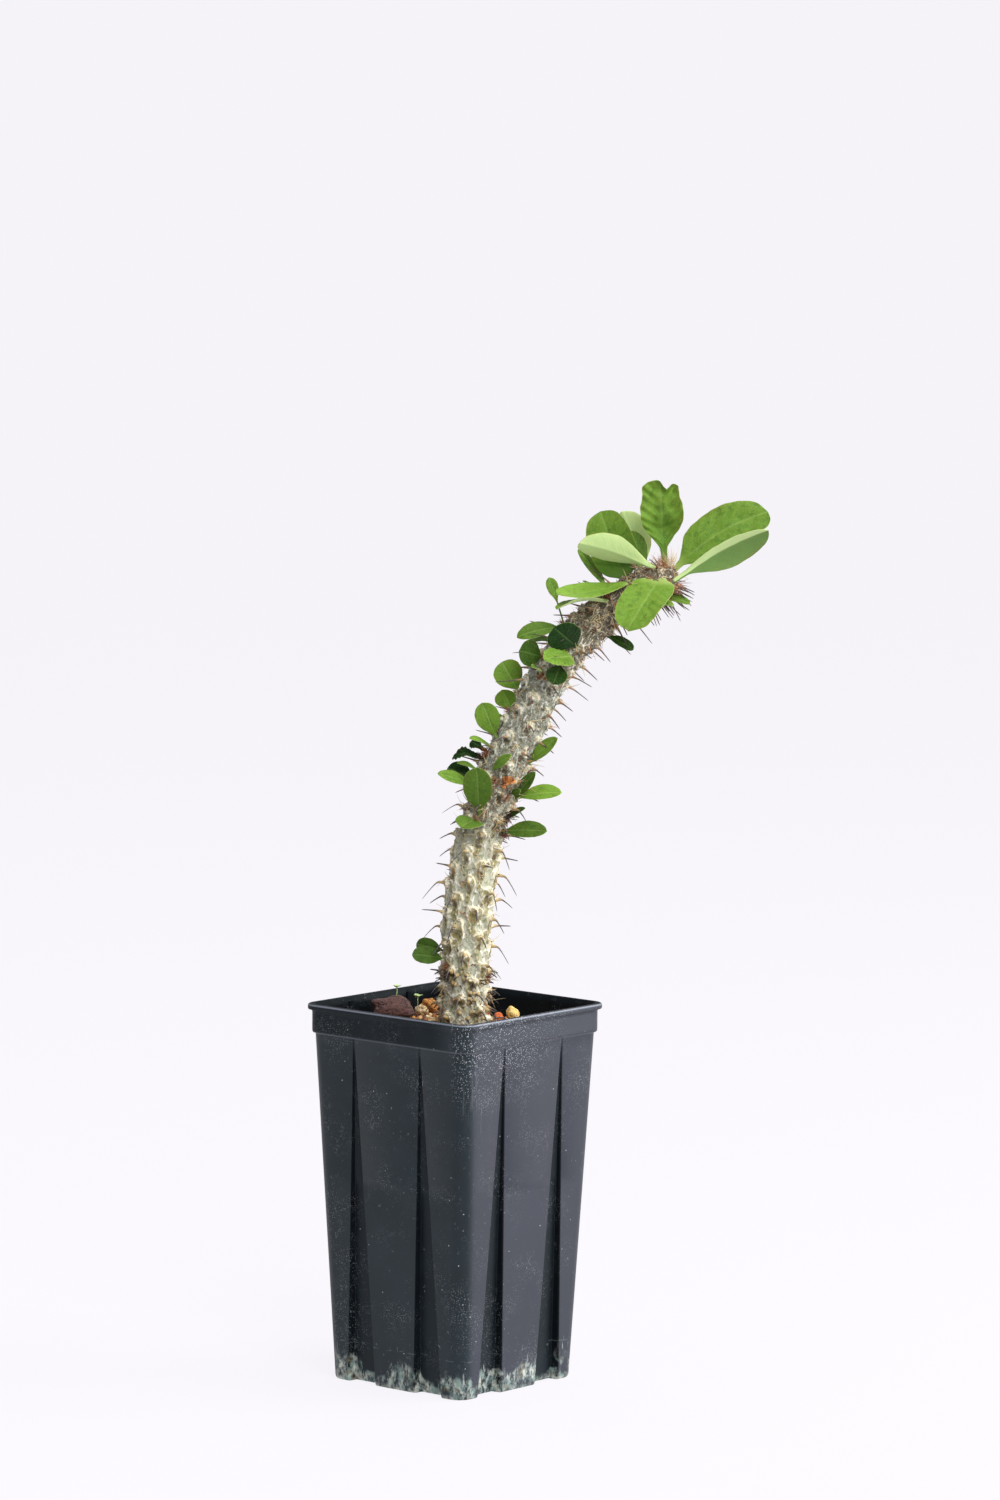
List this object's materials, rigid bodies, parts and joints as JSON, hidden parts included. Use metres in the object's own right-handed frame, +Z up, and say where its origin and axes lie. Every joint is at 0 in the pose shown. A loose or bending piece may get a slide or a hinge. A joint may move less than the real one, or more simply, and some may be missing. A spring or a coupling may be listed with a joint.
{
  "type": "potted euphorbia",
  "caption": "Spiny leaning euphorbia with small spoon-shaped leaves along its stem and a leafy crown, in a tall square black nursery pot of gritty mix.",
  "frame": {"origin": "centre of the pot's flat underside, on the surface that the pot stands on", "axes": "+Z up along the pot; the pot's sides lie along X and Y; the stem leans between +X and +Y, 41 degrees from +X"},
  "size_m": [0.1478, 0.1389, 0.3738],
  "materials": {
    "pot_plastic": "black injection-moulded plastic, satin, with splash specks, scratches and lime crust at the base",
    "potting_mix": "dark gritty potting mix of lava and pumice grains",
    "stem_skin": "pale grey-green bark with raised tubercles, silvery fibres and dark specks",
    "spines": "stiff tapered spines, tan at the foot and dark at the point",
    "leaf_green": "soft satin leaf, yellow-green above and paler below",
    "leaf_dark": "satin dark green leaf",
    "dried_leaf": "dry curled orange-brown leaf",
    "lava_stone": "rough red-brown lava rock",
    "pumice_gold": "porous gold-orange pumice",
    "pumice_tan": "porous tan pumice",
    "pumice_yellow": "porous yellow pumice",
    "grit_orange": "orange-red fired grit",
    "seedling_green": "tender pale green seedling"
  },
  "bodies": {
    "root": {"pot": "pot_plastic", "potting_mix": "potting_mix", "stem": "stem_skin", "crown_leaf_drooping": "leaf_green", "crown_leaf_hidden": "leaf_green", "crown_leaf_left": "leaf_green", "crown_leaf_left_back": "leaf_green", "crown_leaf_long": "leaf_green", "crown_leaf_pale": "leaf_green", "crown_leaf_right": "leaf_green", "crown_leaf_right_lower": "leaf_green", "crown_leaf_round": "leaf_green", "crown_leaf_upright": "leaf_green", "dried_bract": "dried_leaf", "grit_orange_large": "grit_orange", "grit_orange_small": "grit_orange", "grit_red": "grit_orange", "lava_rock": "lava_stone", "lower_leaf_1": "leaf_green", "lower_leaf_2": "leaf_green", "middle_leaf_1": "leaf_green", "middle_leaf_10": "leaf_green", "middle_leaf_11": "leaf_green", "middle_leaf_12": "leaf_green", "middle_leaf_13": "leaf_green", "middle_leaf_14": "leaf_green", "middle_leaf_15": "leaf_green", "middle_leaf_16": "leaf_green", "middle_leaf_17": "leaf_green", "middle_leaf_2": "leaf_green", "middle_leaf_3": "leaf_green", "middle_leaf_4": "leaf_green", "middle_leaf_5": "leaf_green", "middle_leaf_6": "leaf_green", "middle_leaf_7": "leaf_dark", "middle_leaf_8": "leaf_green", "middle_leaf_9": "leaf_green", "pumice_gold_large": "pumice_gold", "pumice_gold_small": "pumice_gold", "pumice_tan": "pumice_tan", "pumice_yellow": "pumice_yellow", "seedling_left": "seedling_green", "seedling_right": "seedling_green", "upper_leaf_1": "leaf_green", "upper_leaf_10": "leaf_green", "upper_leaf_11": "leaf_dark", "upper_leaf_12": "leaf_dark", "upper_leaf_13": "leaf_green", "upper_leaf_14": "leaf_green", "upper_leaf_15": "leaf_green", "upper_leaf_2": "leaf_green", "upper_leaf_3": "leaf_green", "upper_leaf_4": "leaf_green", "upper_leaf_5": "leaf_green", "upper_leaf_6": "leaf_dark", "upper_leaf_7": "leaf_green", "upper_leaf_8": "leaf_green", "upper_leaf_9": "leaf_dark"}
  },
  "joints": []
}
